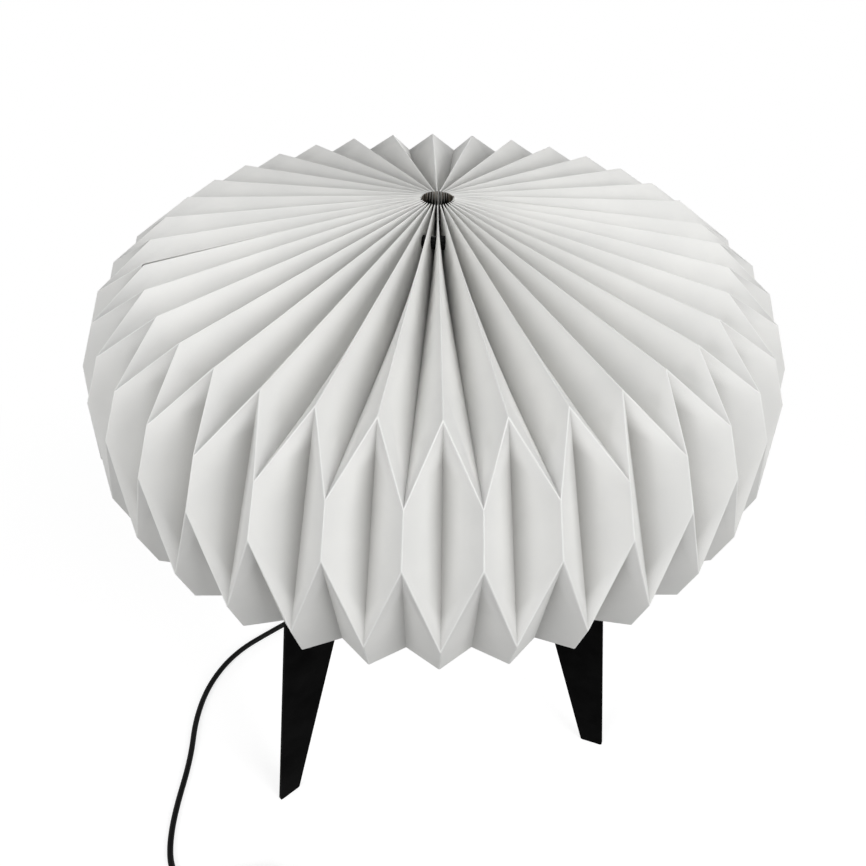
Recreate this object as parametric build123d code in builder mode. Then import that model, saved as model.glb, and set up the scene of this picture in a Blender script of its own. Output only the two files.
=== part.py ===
from build123d import *
import math
import os

# Pleated table lamp. A folded paper shade, made of two glued sheets, sits on three radial steel
# plates that are its legs. Between the plates a small hub carries the lampholder and its bulb, and
# the lead runs down the rear leg to the table, on to its switch, its tied coil and its plug.
# Millimetres, +Z up, the table is z = 0 and the shade's axis is the Z axis. The front is -Y.

os.makedirs("parts", exist_ok=True)

# Shade: each crease ring has its radius and its height above the table
pleat_count = 36
sheet_count = 2
seam_count = -8
shade_turn = 1.5
sheet_thickness = 0.3
twist_steps = (0.08, 0.375)
hole_radius = 9.2
hole_crest_height = 496.5
hole_trough_height = 471.3
shoulder_crest_radius = 171.7
shoulder_crest_height = 468.5
shoulder_trough_radius = 205.0
shoulder_trough_height = 443.0
waist_crest_radius = 218.9
waist_crest_height = 358.8
waist_trough_radius = 216.1
waist_trough_height = 414.8
hem_crest_radius = 210.6
hem_crest_height = 333.7
hem_trough_radius = 198.0
hem_trough_height = 334.8

# Fluted pin that holds the front pleats together, in a round hole in each facet that it passes
pleat_pin_radius = 3.9
pleat_pin_reach = 27.5
pleat_pin_height = 481.2
pleat_pin_start_count = -2
pleat_pin_valley_count = 3
pleat_pin_flute_count = 12
pleat_pin_flute_radius = 0.6
pleat_pin_clearance = 0.2

# Gathering collar in the hole of the shade, and the spigot that it sits on
collar_radius = 8.9
collar_height = 20.0
collar_drop = 4.5
collar_rib_count = 3
collar_rib_pitch = 3.6
collar_groove_width = 1.6
collar_groove_depth = 0.9
spigot_radius = 4.0
spigot_rise = 16.0
spigot_flange_radius = 8.6
spigot_flange_thickness = 3.0
spigot_shank_radius = 2.5
spigot_shank_length = 12.0
spigot_clearance = 0.25
rest_gap = 0.3

# Legs: three plates cut from one sheet
leg_azimuths = {"leg_front_left": -48.5, "leg_front_right": 71.5, "leg_rear": 191.5}
leg_thickness = 2.5
foot_inner_radius = 147.0
foot_outer_radius = 166.0
foot_corner = 2.0
outer_lean = 0.135
inner_lean = 0.30
arm_width = 26.0
arm_depth = 18.0
arm_end_radius = 16.5
arm_corner = 14.0
tongue_height = 16.0
tongue_end_radius = 8.0
tongue_corner = 22.0
tab_inner_radius = 16.0
tab_outer_radius = 26.0
slot_clearance = 0.1

# Hubs: two discs clamp the tongues of the legs, a slotted plug holds their upper ends
hub_seat_height = 300.0
disc_radius = 30.0
disc_thickness = 4.0
nipple_radius = 5.0
nipple_bore_radius = 3.2
nipple_tail = 12.0
nipple_head = 10.0
thread_clearance = 0.05
locknut_across_flats = 14.0
locknut_thickness = 6.0
top_hub_radius = 13.0
top_hub_height = 18.0
top_hub_floor = 2.0
top_tongue_end_radius = 5.0

# Lampholder for an E27 bulb
holder_radius = 20.0
holder_wall = 2.4
holder_cap_height = 26.0
holder_floor = 8.0
holder_shell_height = 32.0
holder_shell_bore_radius = 16.2
insert_flange_thickness = 4.0
insert_rise = 5.0
insert_clearance = 0.2
socket_bore_radius = 13.4
socket_wall = 0.6
socket_height = 24.0
contact_width = 5.0
contact_span = 14.0
contact_rise = 2.0
contact_thickness = 0.8
terminal_offset = 9.0
terminal_head_radius = 3.0
terminal_head_height = 3.5
terminal_slot_width = 0.8
terminal_slot_depth = 1.2
wire_radius = 0.9
wire_offset = 1.3

# Bulb
bulb_gap = 0.3
bulb_tip_radius = 4.5
bulb_tip_height = 1.2
bulb_insulator_height = 4.5
bulb_cap_radius = 13.0
bulb_cap_wall = 0.6
bulb_cap_height = 22.0
bulb_globe_radius = 22.5
bulb_neck_radius = 12.0
bulb_neck_length = 5.0
bulb_neck_depth = 4.0
bulb_neck_to_globe = 23.5
bulb_glass_thickness = 1.0
bulb_post_radius = 4.0
bulb_post_height = 32.0
bulb_base_thickness = 3.0

# Lead and its clips on the rear leg
cord_radius = 2.5
bend_share = 0.45
cord_edge_gap = 0.7
cord_drop_height = 236.0
cord_join_height = 190.0
clip_heights = (140.0, 101.0, 62.0)
clip_length = 10.0
clip_wall = 1.8
clip_jaw = 7.0
clip_jaw_wall = 1.5
cord_hang = 30.0

# Lead on the table, from the rear foot to the switch: points chosen by hand
table_route = [
    (-52, 137),
    (-98, 109),
    (-157, 64),
    (-189, 37),
    (-207, 2),
    (-212, -36),
    (-207.5, -76),
    (-210, -124),
    (-207.5, -153),
    (-201, -171.5),
]
switch_approach = (-188, -184.5, 3.0)

# Switch on the lead
switch_center_x = -130.0
switch_center_y = -190.0
switch_length = 64.0
switch_width = 26.0
switch_height = 16.0
switch_split_height = 8.0
switch_corner = 9.0
switch_wall = 2.0
switch_edge = 1.5
cord_hole_clearance = 0.2
cord_end_depth = 4.0
rocker_length = 17.0
rocker_width = 8.4
rocker_window_length = 19.6
rocker_window_width = 9.4
rocker_pivot_height = 11.8
rocker_tilt = 10.0
rocker_end_rise = 5.4
rocker_middle_rise = 4.4
rocker_drop = 2.5
rocker_pin_radius = 1.2
rocker_ear_width = 5.0
rocker_ear_thickness = 1.6
rocker_ear_drop = 2.2
screw_offset_x = 20.0
screw_offset_y = 8.0
screw_radius = 1.5
screw_head_radius = 2.8
screw_head_height = 2.0
screw_head_recess = 0.4
screw_length = 12.0
screw_boss_radius = 3.4
screw_clearance = 0.15
blade_length = 16.0
blade_height = 3.0
blade_thickness = 0.8
blade_spread = 24.0
blade_offset = 3.0

# Coil of the lead that is put away, and its tie
coil_center_x = -55.0
coil_center_y = -228.0
coil_outer_radius = 38.0
coil_turns_in = 3
coil_turns_out = 2.5
coil_gap = 0.8
climb_turns = 0.5
same_direction = 1e-9
tie_width = 6.0
tie_thickness = 0.8
tie_gap = 0.2

# Flat two-pin plug
plug_cord_x = 10.0
plug_thickness = 13.8
plug_relief_length = 22.0
plug_relief_radius = 3.8
plug_neck_radius = 5.6
plug_neck_width = 16.0
plug_width = 35.0
plug_shoulder = 14.0
plug_length = 36.0
plug_corner = 4.0
plug_edge = 2.0
plug_cord_depth = 12.0
pin_radius = 2.0
pin_length = 19.0
pin_root = 6.0
pin_root_radius = 1.6
pin_spacing = 18.6
pin_tip = 0.8

pleat_pitch = 360 / pleat_count
shoulder = 1 + len(twist_steps)


def top_crease(hole_height, end_radius, end_height):
    """A straight crease from the hole to the shoulder, with the points where its facets twist."""
    return [
        (hole_radius + step * (end_radius - hole_radius), hole_height + step * (end_height - hole_height))
        for step in (0, *twist_steps, 1)
    ]


crest_line = [
    *top_crease(hole_crest_height, shoulder_crest_radius, shoulder_crest_height),
    (waist_crest_radius, waist_crest_height),
    (hem_crest_radius, hem_crest_height),
]
trough_line = [
    *top_crease(hole_trough_height, shoulder_trough_radius, shoulder_trough_height),
    (waist_trough_radius, waist_trough_height),
    (hem_trough_radius, hem_trough_height),
]


def keep(piece, name):
    """Label a finished piece and write it to its own file."""
    piece.part.label = name
    export_step(piece.part, f"parts/{name}.step")


def at_pleat(point, pleat):
    """A crease point of radius and height, placed at a number of pleats from the front."""
    radius, height = point
    angle = math.radians(shade_turn + pleat * pleat_pitch)
    return Vector(radius * math.sin(angle), -radius * math.cos(angle), height)


def facet_normal(line, beside, start, corner):
    """Outward normal, at one corner, of the facet that runs along a line from its start point."""
    half_pitch = math.radians(pleat_pitch / 2)

    def across(point):
        return Vector(point[0] * math.cos(half_pitch), point[0] * math.sin(half_pitch), point[1])

    along = Vector(line[start + 1][0], 0, line[start + 1][1]) - Vector(line[start][0], 0, line[start][1])
    sideways = across(beside[corner]) - Vector(line[corner][0], 0, line[corner][1])
    return along.cross(sideways).normalized()


def lining(line, beside):
    """The same crease on the inside of the sheet, one sheet thickness below both its facets."""
    inside = []
    last = len(line) - 1
    for corner, (radius, height) in enumerate(line):
        if corner < shoulder:
            normal = facet_normal(line, beside, corner, corner)
            shift = (0, -sheet_thickness / normal.Z)
        elif corner == last:
            normal = facet_normal(line, beside, last - 1, last)
            scale = -sheet_thickness / (normal.X**2 + normal.Z**2)
            shift = (normal.X * scale, normal.Z * scale)
        else:
            above = facet_normal(line, beside, corner - 1, corner)
            below = facet_normal(line, beside, corner, corner)
            spread = above.X * below.Z - above.Z * below.X
            shift = (
                -sheet_thickness * (below.Z - above.Z) / spread,
                -sheet_thickness * (above.X - below.X) / spread,
            )
        inside.append((radius + shift[0], height + shift[1]))
    return inside


crest_lining = lining(crest_line, trough_line)
trough_lining = lining(trough_line, crest_line)


def three_corners(a, b, c):
    """A flat triangle."""
    return Face(Wire.make_polygon([a, b, c], close=True))


def upright_plane(azimuth):
    """An upright plane through the axis: its X is the radius and its Y is the height."""
    angle = math.radians(azimuth)
    outward = Vector(math.sin(angle), -math.cos(angle), 0)
    return Plane(origin=(0, 0, 0), x_dir=outward, z_dir=outward.cross(Vector(0, 0, 1)))


# The pin is bent round the axis, from the middle of one crest to the middle of another
pleat_pin_start = shade_turn + pleat_pin_start_count * pleat_pitch
pleat_pin_sweep = pleat_pin_valley_count * pleat_pitch
pleat_pin_play = math.degrees(pleat_pin_clearance / pleat_pin_reach)


def pleated_sheet(name, first_pleat, last_pleat):
    """One glued half of the shade, from the crest of one seam to the crest of the other."""
    faces = []
    zones = range(len(crest_line) - 1)
    for step in range(2 * (last_pleat - first_pleat)):
        here = first_pleat + step / 2
        lines = [(crest_line, crest_lining), (trough_line, trough_lining)]
        if step % 2:
            lines.reverse()
        (line, line_in), (next_line, next_line_in) = lines
        outer = [at_pleat(point, here) for point in line]
        outer_next = [at_pleat(point, here + 0.5) for point in next_line]
        inner = [at_pleat(point, here) for point in line_in]
        inner_next = [at_pleat(point, here + 0.5) for point in next_line_in]
        if step % 2:
            crest, trough = (outer_next, inner_next), (outer, inner)
        else:
            crest, trough = (outer, inner), (outer_next, inner_next)
        for side in range(2):
            for zone in zones:
                faces.append(three_corners(crest[side][zone], crest[side][zone + 1], trough[side][zone + 1]))
                faces.append(three_corners(crest[side][zone], trough[side][zone + 1], trough[side][zone]))
        for rim in (0, -1):
            faces.append(three_corners(crest[0][rim], crest[1][rim], trough[1][rim]))
            faces.append(three_corners(crest[0][rim], trough[1][rim], trough[0][rim]))
    for seam in (first_pleat, last_pleat):
        outer = [at_pleat(point, seam) for point in crest_line]
        inner = [at_pleat(point, seam) for point in crest_lining]
        for zone in zones:
            faces.append(three_corners(outer[zone], outer[zone + 1], inner[zone + 1]))
            faces.append(three_corners(outer[zone], inner[zone + 1], inner[zone]))
    with BuildPart() as sheet:
        add(Solid(Shell(faces)))
        with BuildSketch(upright_plane(pleat_pin_start - pleat_pin_play)):
            with Locations((pleat_pin_reach, pleat_pin_height)):
                Circle(pleat_pin_radius + pleat_pin_clearance)
        revolve(axis=Axis.Z, revolution_arc=pleat_pin_sweep + 2 * pleat_pin_play, mode=Mode.SUBTRACT)
    keep(sheet, name)


second_seam = seam_count + pleat_count // sheet_count
pleated_sheet("shade_front_sheet", seam_count, second_seam)
pleated_sheet("shade_rear_sheet", second_seam, seam_count + pleat_count)

with BuildPart() as pleat_pin:
    with BuildSketch(upright_plane(pleat_pin_start)):
        with Locations((pleat_pin_reach, pleat_pin_height)):
            Circle(pleat_pin_radius)
            with PolarLocations(pleat_pin_radius, pleat_pin_flute_count):
                Circle(pleat_pin_flute_radius, mode=Mode.SUBTRACT)
    revolve(axis=Axis.Z, revolution_arc=pleat_pin_sweep)
keep(pleat_pin, "pleat_pin")

# Heights of the top fitting, from the lower end of the troughs at the hole
collar_foot = trough_lining[0][1] - collar_drop
flange_top = collar_foot - rest_gap
top_hub_top = flange_top - spigot_flange_thickness
top_hub_base = top_hub_top - top_hub_height

with BuildPart() as gathering_collar:
    with BuildSketch(Plane.XY.offset(collar_foot)):
        Circle(collar_radius)
        Circle(spigot_radius + spigot_clearance, mode=Mode.SUBTRACT)
    extrude(amount=collar_height)
    for rib in range(collar_rib_count):
        groove_top = collar_foot + collar_height - (rib + 0.5) * collar_rib_pitch
        with BuildSketch(Plane.XY.offset(groove_top)):
            Circle(collar_radius)
            Circle(collar_radius - collar_groove_depth, mode=Mode.SUBTRACT)
        extrude(amount=-collar_groove_width, mode=Mode.SUBTRACT)
keep(gathering_collar, "gathering_collar")

with BuildPart() as shade_spigot:
    with BuildSketch(Plane.XY.offset(flange_top)):
        Circle(spigot_radius)
    extrude(amount=spigot_rise)
    chamfer(shade_spigot.edges().sort_by(Axis.Z)[-1], length=spigot_radius / 4)
    with BuildSketch(Plane.XY.offset(top_hub_top)):
        Circle(spigot_flange_radius)
    extrude(amount=spigot_flange_thickness)
    with BuildSketch(Plane.XY.offset(top_hub_top)):
        Circle(spigot_shank_radius)
    extrude(amount=-spigot_shank_length)
keep(shade_spigot, "shade_spigot")


def seat_height(radius):
    """Height of a leg's upper edge, just below the trough that rests on it."""
    for (start, start_height), (end, end_height) in zip(trough_lining, trough_lining[1:]):
        if radius <= end:
            break
    return start_height + (radius - start) * (end_height - start_height) / (end - start) - rest_gap


def outer_edge(height):
    return foot_outer_radius - outer_lean * height


def inner_edge(height):
    return foot_inner_radius - inner_lean * height


hub_base_height = hub_seat_height - tongue_height
disc_top_height = hub_seat_height + disc_thickness
disc_base_height = hub_base_height - disc_thickness
(seat_start, seat_top), (seat_end, seat_low) = trough_lining[shoulder - 1], trough_lining[shoulder]
seat_slope = (seat_low - seat_top) / (seat_end - seat_start)
seat_on_axis = seat_top - seat_slope * seat_start - rest_gap
top_outer_radius = outer_edge(seat_on_axis) / (1 + outer_lean * seat_slope)
arm_inner_radius = top_outer_radius - arm_width
leg_outline = [
    ((foot_inner_radius, 0), foot_corner),
    ((foot_outer_radius, 0), foot_corner),
    ((top_outer_radius, seat_height(top_outer_radius)), arm_corner),
    *[
        ((radius, height - rest_gap), 0)
        for radius, height in reversed(trough_lining[:shoulder])
        if arm_end_radius < radius < top_outer_radius
    ],
    ((arm_end_radius, seat_height(arm_end_radius)), 0),
    ((top_hub_radius + slot_clearance, top_hub_top), 0),
    ((top_tongue_end_radius, top_hub_top), 0),
    ((top_tongue_end_radius, top_hub_base + top_hub_floor), 0),
    ((top_hub_radius + slot_clearance, top_hub_base + top_hub_floor), 0),
    ((arm_inner_radius, seat_height(arm_inner_radius) - arm_depth), arm_corner),
    ((outer_edge(hub_seat_height) - arm_width, hub_seat_height), tongue_corner),
    ((tab_outer_radius, hub_seat_height), 0),
    ((tab_outer_radius, disc_top_height), 0),
    ((tab_inner_radius, disc_top_height), 0),
    ((tab_inner_radius, hub_seat_height), 0),
    ((tongue_end_radius, hub_seat_height), 0),
    ((tongue_end_radius, hub_base_height), 0),
    ((tab_inner_radius, hub_base_height), 0),
    ((tab_inner_radius, disc_base_height), 0),
    ((tab_outer_radius, disc_base_height), 0),
    ((tab_outer_radius, hub_base_height), 0),
    ((inner_edge(hub_base_height), hub_base_height), tongue_corner),
]

for leg_name, azimuth in leg_azimuths.items():
    with BuildPart() as leg:
        with BuildSketch(upright_plane(azimuth)):
            with BuildLine():
                FilletPolyline(
                    *[point for point, _ in leg_outline],
                    radius=[corner for _, corner in leg_outline],
                    close=True,
                )
            make_face()
        extrude(amount=leg_thickness / 2, both=True)
    keep(leg, leg_name)

slot_width = leg_thickness + 2 * slot_clearance


def hub_disc(name, base_height):
    """A disc with a bore for the nipple and three slots for the tabs of the legs."""
    with BuildPart() as disc:
        with BuildSketch(Plane.XY.offset(base_height)):
            Circle(disc_radius)
            Circle(nipple_radius + thread_clearance, mode=Mode.SUBTRACT)
            for azimuth in leg_azimuths.values():
                with Locations(Location((0, 0), azimuth - 90)):
                    with Locations(((tab_inner_radius + tab_outer_radius) / 2, 0)):
                        Rectangle(
                            tab_outer_radius - tab_inner_radius + 2 * slot_clearance,
                            slot_width,
                            mode=Mode.SUBTRACT,
                        )
        extrude(amount=disc_thickness)
    keep(disc, name)


hub_disc("hub_upper_disc", hub_seat_height)
hub_disc("hub_lower_disc", disc_base_height)

with BuildPart() as top_hub:
    with BuildSketch(Plane.XY.offset(top_hub_base)):
        Circle(top_hub_radius)
        Circle(spigot_shank_radius + thread_clearance, mode=Mode.SUBTRACT)
    extrude(amount=top_hub_height)
    with BuildSketch(Plane.XY.offset(top_hub_base + top_hub_floor)):
        for azimuth in leg_azimuths.values():
            with Locations(Location((0, 0), azimuth - 90)):
                with Locations((top_tongue_end_radius - slot_clearance, 0)):
                    Rectangle(top_hub_radius, slot_width, align=(Align.MIN, Align.CENTER))
    extrude(amount=top_hub_height, mode=Mode.SUBTRACT)
keep(top_hub, "top_hub")

with BuildPart() as threaded_nipple:
    with BuildSketch(Plane.XY.offset(disc_base_height - nipple_tail)):
        Circle(nipple_radius)
        Circle(nipple_bore_radius, mode=Mode.SUBTRACT)
    extrude(amount=disc_top_height + nipple_head - disc_base_height + nipple_tail)
keep(threaded_nipple, "threaded_nipple")

with BuildPart() as nipple_locknut:
    with BuildSketch(Plane.XY.offset(disc_base_height)):
        RegularPolygon(locknut_across_flats / 2, 6, major_radius=False)
        Circle(nipple_radius + thread_clearance, mode=Mode.SUBTRACT)
    extrude(amount=-locknut_thickness)
keep(nipple_locknut, "nipple_locknut")

# Lampholder, from the hub upwards
holder_joint = disc_top_height + holder_cap_height
insert_top = holder_joint + insert_rise
holder_cavity_radius = holder_radius - holder_wall

with BuildPart() as lampholder_cap:
    with BuildSketch(Plane.XY.offset(disc_top_height)):
        Circle(holder_radius)
    extrude(amount=holder_cap_height)
    fillet(lampholder_cap.edges().sort_by(Axis.Z)[0], radius=holder_wall)
    with BuildSketch(Plane.XY.offset(disc_top_height + holder_floor)):
        Circle(holder_cavity_radius)
    extrude(amount=holder_cap_height, mode=Mode.SUBTRACT)
    with BuildSketch(Plane.XY.offset(disc_top_height)):
        Circle(nipple_radius + thread_clearance)
    extrude(amount=holder_cap_height, mode=Mode.SUBTRACT)
keep(lampholder_cap, "lampholder_cap")

with BuildPart() as lampholder_shell:
    with BuildSketch(Plane.XY.offset(holder_joint)):
        Circle(holder_radius)
        Circle(holder_shell_bore_radius, mode=Mode.SUBTRACT)
    extrude(amount=holder_shell_height)
    fillet(lampholder_shell.edges().group_by(Axis.Z)[-1], radius=holder_wall / 2)
keep(lampholder_shell, "lampholder_shell")

with BuildPart() as lampholder_insert:
    with BuildSketch(Plane.XY.offset(holder_joint - insert_flange_thickness)):
        Circle(holder_cavity_radius - insert_clearance)
    extrude(amount=insert_flange_thickness)
    with BuildSketch(Plane.XY.offset(holder_joint)):
        Circle(holder_shell_bore_radius - insert_clearance)
    extrude(amount=insert_rise)
keep(lampholder_insert, "lampholder_insert")

with BuildPart() as lampholder_thread:
    with BuildSketch(Plane.XY.offset(insert_top)):
        Circle(socket_bore_radius + socket_wall)
        Circle(socket_bore_radius, mode=Mode.SUBTRACT)
    extrude(amount=socket_height)
keep(lampholder_thread, "lampholder_thread")

with BuildPart() as lampholder_contact:
    with BuildSketch(Plane.XZ):
        with BuildLine():
            Polyline(
                (-contact_span / 2, insert_top),
                (-contact_span / 4, insert_top),
                (0, insert_top + contact_rise - contact_thickness),
                (contact_span / 4, insert_top),
                (contact_span / 2, insert_top),
                (contact_span / 2, insert_top + contact_thickness),
                (contact_span / 4, insert_top + contact_thickness),
                (0, insert_top + contact_rise),
                (-contact_span / 4, insert_top + contact_thickness),
                (-contact_span / 2, insert_top + contact_thickness),
                close=True,
            )
        make_face()
    extrude(amount=contact_width / 2, both=True)
keep(lampholder_contact, "lampholder_contact")

terminal_top = holder_joint - insert_flange_thickness
terminal_base = terminal_top - terminal_head_height
with BuildPart() as terminal_screws:
    with BuildSketch(Plane.XY.offset(terminal_base)):
        with Locations((-terminal_offset, 0), (terminal_offset, 0)):
            Circle(terminal_head_radius)
    extrude(amount=terminal_head_height)
    with BuildSketch(Plane.XY.offset(terminal_base)):
        with Locations((-terminal_offset, 0), (terminal_offset, 0)):
            Rectangle(terminal_slot_width, 3 * terminal_head_radius)
    extrude(amount=terminal_slot_depth, mode=Mode.SUBTRACT)
keep(terminal_screws, "terminal_screws")


def tube(name, route, radii, radius):
    """A round tube along straight runs that are joined by tangent arcs."""
    with BuildPart() as piece:
        with BuildLine() as path:
            FilletPolyline(*route, radius=radii)
        line = path.wire()
        with BuildSketch(Plane(origin=line @ 0, z_dir=line % 0)):
            Circle(radius)
        sweep()
    keep(piece, name)
    expected = line.length * math.pi * radius**2
    print(f"{name}: length {line.length:.1f}, volume over expected {piece.part.volume / expected:.4f}")
    return line.length


def bend_radii(route):
    """The largest radius that each corner of a route has room for."""
    points = [Vector(point) for point in route]
    radii = []
    for before, corner, after in zip(points, points[1:], points[2:]):
        turn = math.radians((corner - before).get_angle(after - corner))
        shorter = min((corner - before).length, (after - corner).length)
        radii.append(bend_share * shorter / math.tan(turn / 2))
    return radii


cord_top = disc_top_height + nipple_head + cord_radius
wire_end_radius = terminal_offset - terminal_head_radius - wire_radius
wire_end_height = terminal_base + terminal_head_height / 2
for wire_name, side in (("live_wire", 1), ("neutral_wire", -1)):
    wire_route = [
        (side * wire_offset, 0, cord_top),
        (side * wire_offset, 0, (cord_top + wire_end_height) / 2),
        (side * wire_end_radius, 0, wire_end_height),
    ]
    tube(wire_name, wire_route, bend_radii(wire_route), wire_radius)

# Bulb
tip_base = insert_top + contact_rise + bulb_gap
tip_top = tip_base + bulb_tip_height
cap_base = tip_top + bulb_insulator_height - bulb_cap_wall
cap_top = cap_base + bulb_cap_height
cap_bore_radius = bulb_cap_radius - bulb_cap_wall
neck_base = cap_top - bulb_neck_depth
neck_top = neck_base + bulb_neck_length
globe_center = neck_top + bulb_neck_to_globe

with BuildPart() as bulb_contact:
    with BuildSketch(Plane.XY.offset(tip_base)):
        Circle(bulb_tip_radius)
    extrude(amount=bulb_tip_height)
    fillet(bulb_contact.edges().sort_by(Axis.Z)[0], radius=bulb_tip_height / 2)
keep(bulb_contact, "bulb_contact")

with BuildPart() as bulb_insulator:
    with BuildSketch(Plane.XY.offset(tip_top)):
        Circle(bulb_tip_radius)
    with BuildSketch(Plane.XY.offset(tip_top + bulb_insulator_height)):
        Circle(cap_bore_radius - insert_clearance)
    loft()
keep(bulb_insulator, "bulb_insulator")

with BuildPart() as bulb_cap:
    with BuildSketch(Plane.XY.offset(cap_base)):
        Circle(bulb_cap_radius)
        Circle(cap_bore_radius, mode=Mode.SUBTRACT)
    extrude(amount=bulb_cap_height)
keep(bulb_cap, "bulb_cap")


def globe_section(inset):
    """Half outline of the bulb's glass, drawn in by an inset: neck, cone and round globe."""
    radius = bulb_globe_radius - inset
    neck = bulb_neck_radius - inset
    reach = math.hypot(neck, bulb_neck_to_globe)
    touch = math.acos(radius / reach) - math.atan2(bulb_neck_to_globe, neck)
    on_globe = (radius * math.cos(touch), globe_center + radius * math.sin(touch))
    middle = (touch + math.pi / 2) / 2
    on_crown = (radius * math.cos(middle), globe_center + radius * math.sin(middle))
    with BuildLine() as section:
        Polyline((0, neck_base), (neck, neck_base), (neck, neck_top), on_globe)
        ThreePointArc(on_globe, on_crown, (0, globe_center + radius))
        Line((0, globe_center + radius), (0, neck_base))
    return section


with BuildPart() as bulb_glass:
    with BuildSketch(Plane.XZ):
        add(globe_section(0).line)
        make_face()
    revolve(axis=Axis.Z)
    with BuildSketch(Plane.XZ):
        add(globe_section(bulb_glass_thickness).line)
        make_face()
    revolve(axis=Axis.Z, mode=Mode.SUBTRACT)
keep(bulb_glass, "bulb_glass")

with BuildPart() as bulb_led_post:
    with BuildSketch(Plane.XY.offset(neck_base)):
        Circle(cap_bore_radius - insert_clearance)
    extrude(amount=-bulb_base_thickness)
    with BuildSketch(Plane.XY.offset(neck_base)):
        Circle(bulb_post_radius)
    extrude(amount=bulb_post_height)
    fillet(bulb_led_post.edges().sort_by(Axis.Z)[-1], radius=bulb_post_radius / 2)
keep(bulb_led_post, "bulb_led_post")

# Lead inside the lamp: down through the nipple, over to the rear leg and down its inner edge
rear_plane = upright_plane(leg_azimuths["leg_rear"])
edge_length = math.hypot(1, inner_lean)
cord_offset = cord_radius + cord_edge_gap


def beside_edge(height):
    """Centre of the lead beside the rear leg's inner edge, in the plane of the leg."""
    return (inner_edge(height) - cord_offset * edge_length, height)


def on_rear_leg(radius, height):
    return rear_plane.from_local_coords(Vector(radius, height, 0))


exit_height = clip_heights[-1] - clip_length / 2
cord_exit = on_rear_leg(*beside_edge(exit_height))
lamp_route = [
    on_rear_leg(0, cord_top),
    on_rear_leg(0, cord_drop_height),
    on_rear_leg(*beside_edge(cord_join_height)),
    cord_exit,
]
tube("cord_in_lamp", lamp_route, bend_radii(lamp_route), cord_radius)

with BuildPart() as cord_clips:
    down_edge = (on_rear_leg(*beside_edge(0)) - on_rear_leg(*beside_edge(1))).normalized()
    for height in clip_heights:
        place = on_rear_leg(inner_edge(height), height)
        inward = rear_plane.z_dir.cross(down_edge).normalized()
        if inward.dot(rear_plane.x_dir) > 0:
            inward = -inward
        with BuildSketch(Plane(origin=place, x_dir=inward, z_dir=down_edge)):
            with Locations((cord_offset, 0)):
                Circle(cord_radius + thread_clearance + clip_wall)
            with Locations((cord_offset, 0)):
                Rectangle(
                    clip_jaw + cord_offset,
                    leg_thickness + 2 * (slot_clearance + clip_jaw_wall),
                    align=(Align.MAX, Align.CENTER),
                )
            Rectangle(clip_jaw, slot_width, align=(Align.MAX, Align.CENTER), mode=Mode.SUBTRACT)
            with Locations((cord_offset, 0)):
                Circle(cord_radius + thread_clearance, mode=Mode.SUBTRACT)
        extrude(amount=clip_length / 2, both=True)
keep(cord_clips, "cord_clips")

# Lead on the table
to_plug = Vector(1, 0, 0)
lead_length = 4 * cord_radius
switch_start = Vector(switch_center_x - switch_length / 2, switch_center_y, switch_split_height)
floor_route = [
    cord_exit,
    cord_exit + down_edge * cord_hang,
    *[Vector(x, y, cord_radius) for x, y in table_route],
    Vector(switch_approach),
    switch_start - to_plug * lead_length,
    switch_start + to_plug * cord_end_depth,
]
floor_radii = bend_radii(floor_route)
print("bend radii on the table:", [round(radius, 1) for radius in floor_radii])
floor_length = tube("cord_on_floor", floor_route, floor_radii, cord_radius)

# Switch on the lead
pivot = Vector(switch_center_x, switch_center_y, rocker_pivot_height)
screw_places = [
    (switch_center_x - screw_offset_x, switch_center_y + screw_offset_y),
    (switch_center_x + screw_offset_x, switch_center_y - screw_offset_y),
]


def switch_plan(height, inset):
    """Plan of the switch at one height, drawn in by an inset."""
    with BuildSketch(Plane.XY.offset(height)) as plan:
        with Locations((switch_center_x, switch_center_y)):
            RectangleRounded(switch_length - 2 * inset, switch_width - 2 * inset, switch_corner - inset)
    return plan.sketch


with BuildSketch(Plane(origin=switch_start, z_dir=to_plug)) as cord_hole:
    Circle(cord_radius + cord_hole_clearance)

with BuildPart() as switch_base:
    extrude(switch_plan(0, 0), amount=switch_split_height)
    fillet(switch_base.edges().group_by(Axis.Z)[0], radius=switch_edge)
    extrude(switch_plan(switch_wall, switch_wall), amount=switch_split_height, mode=Mode.SUBTRACT)
    with BuildSketch(Plane.XY.offset(switch_wall / 2)):
        with Locations(*screw_places):
            Circle(screw_boss_radius)
    extrude(amount=switch_split_height - switch_wall / 2)
    with BuildSketch(Plane.XY):
        with Locations(*screw_places):
            Circle(screw_radius + screw_clearance)
    extrude(amount=switch_split_height, mode=Mode.SUBTRACT)
    with BuildSketch(Plane.XY):
        with Locations(*screw_places):
            Circle(screw_head_radius + screw_clearance)
    extrude(amount=screw_head_recess + screw_head_height, mode=Mode.SUBTRACT)
    extrude(cord_hole.sketch, amount=switch_length, mode=Mode.SUBTRACT)
keep(switch_base, "switch_base")

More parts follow.
